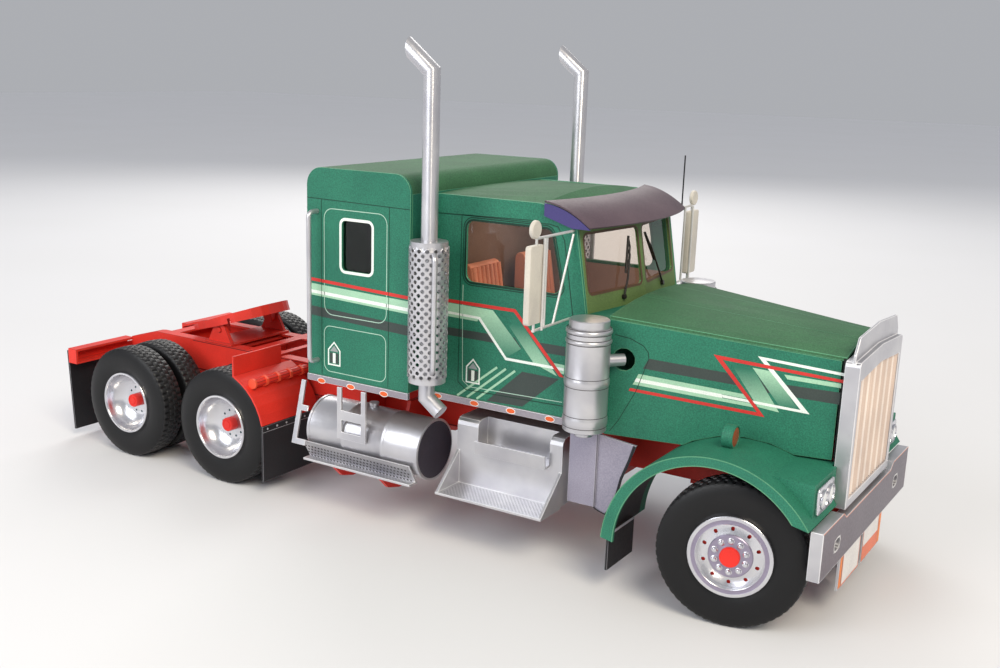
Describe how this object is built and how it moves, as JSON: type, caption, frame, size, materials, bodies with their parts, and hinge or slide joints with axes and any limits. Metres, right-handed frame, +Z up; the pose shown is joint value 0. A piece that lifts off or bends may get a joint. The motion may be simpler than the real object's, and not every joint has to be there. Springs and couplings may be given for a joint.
{
  "type": "card model of a sleeper truck tractor",
  "caption": "Card scale model of a long-nose sleeper truck tractor with twin drive axles, steered front wheels and a rocking fifth-wheel plate.",
  "frame": {"origin": "on the ground under the middle of the model's length and width", "axes": "+X forward, +Y to the vehicle's left, +Z up"},
  "size_m": [0.3134, 0.1234, 0.1634],
  "materials": {
    "green_card": "printed green card with a fine grain",
    "silver_card": "silver metallic card",
    "red_card": "printed red card",
    "black_card": "black card with a dull sheen",
    "grille_card": "folded silver-beige card bars",
    "plum_card": "dark tinted card",
    "trim_card": "printed beige card",
    "white_card": "blank white card with an orange edge",
    "clear_film": "clear plastic film"
  },
  "bodies": {
    "root": {"air_cleaners": "silver_card", "antenna": "black_card", "bumper": "silver_card", "cab_floors": "green_card", "cab_roof": "green_card", "cab_sides": "green_card", "cowl": "green_card", "cross_members": "red_card", "dashboard": "trim_card", "deck_plate": "red_card", "drive_axles": "red_card", "driveline": "red_card", "exhaust_stacks": "silver_card", "fender_tubes": "red_card", "fenders": "green_card", "fifth_wheel_base": "red_card", "frame_rails": "red_card", "front_axle": "red_card", "fuel_tanks": "silver_card", "grab_rails": "silver_card", "grille": "grille_card", "headlamps": "silver_card", "heat_shields": "silver_card", "hood_sides": "green_card", "hood_top": "green_card", "leaf_springs": "red_card", "mirrors": "silver_card", "mud_flaps": "black_card", "number_plates": "white_card", "quarter_fenders": "red_card", "radiator_shell": "silver_card", "rear_beam": "red_card", "seats": "trim_card", "sill_strips": "silver_card", "sleeper_back": "green_card", "sleeper_front": "green_card", "sleeper_roof": "green_card", "sleeper_sides": "green_card", "splash_panels": "silver_card", "step_boxes": "silver_card", "tank_saddles": "red_card", "tank_steps": "silver_card", "visor": "plum_card", "window_panes": "clear_film", "windscreen_frame": "green_card"},
    "knuckle_left": {"knuckle_left": "red_card"},
    "knuckle_right": {"knuckle_right": "red_card"},
    "fifth_wheel_plate": {"fifth_wheel_plate": "red_card"},
    "front_wheel_left": {"front_tyre_left": "black_card", "front_rim_left": "silver_card"},
    "drive_wheel_1_left": {"twin_tyres_1_left": "black_card", "twin_rims_1_left": "silver_card"},
    "drive_wheel_2_left": {"twin_tyres_2_left": "black_card", "twin_rims_2_left": "silver_card"},
    "front_wheel_right": {"front_tyre_right": "black_card", "front_rim_right": "silver_card"},
    "drive_wheel_1_right": {"twin_tyres_1_right": "black_card", "twin_rims_1_right": "silver_card"},
    "drive_wheel_2_right": {"twin_tyres_2_right": "black_card", "twin_rims_2_right": "silver_card"}
  },
  "joints": [
    {"name": "steer_left", "type": "hinge", "parent": "root", "child": "knuckle_left", "pos_m": [0.12995, 0.0402, 0.022], "axis": [0, 0, 1], "range_deg": [-27, 7]},
    {"name": "steer_right", "type": "hinge", "parent": "root", "child": "knuckle_right", "pos_m": [0.12995, -0.0402, 0.022], "axis": [0, 0, 1], "range_deg": [-27, 7]},
    {"name": "front_roll_left", "type": "hinge", "parent": "knuckle_left", "child": "front_wheel_left", "pos_m": [0.12995, 0.0402, 0.022], "axis": [-0.1736, 0.9848, 0], "continuous": true},
    {"name": "drive_roll_1_left", "type": "hinge", "parent": "root", "child": "drive_wheel_1_left", "pos_m": [-0.06835, 0.0363, 0.022], "axis": [0, 1, 0], "continuous": true},
    {"name": "drive_roll_2_left", "type": "hinge", "parent": "root", "child": "drive_wheel_2_left", "pos_m": [-0.12035, 0.0363, 0.022], "axis": [0, 1, 0], "continuous": true},
    {"name": "front_roll_right", "type": "hinge", "parent": "knuckle_right", "child": "front_wheel_right", "pos_m": [0.12995, -0.0402, 0.022], "axis": [-0.1736, 0.9848, 0], "continuous": true},
    {"name": "drive_roll_1_right", "type": "hinge", "parent": "root", "child": "drive_wheel_1_right", "pos_m": [-0.06835, -0.0363, 0.022], "axis": [0, 1, 0], "continuous": true},
    {"name": "drive_roll_2_right", "type": "hinge", "parent": "root", "child": "drive_wheel_2_right", "pos_m": [-0.12035, -0.0363, 0.022], "axis": [0, 1, 0], "continuous": true},
    {"name": "fifth_wheel_tilt", "type": "hinge", "parent": "root", "child": "fifth_wheel_plate", "pos_m": [-0.09935, 0, 0.0493], "axis": [0, 1, 0], "range_deg": [0, 19.5]}
  ],
  "couplings": [
    {"joint": "steer_right", "follows": "steer_left", "ratio": 1}
  ]
}
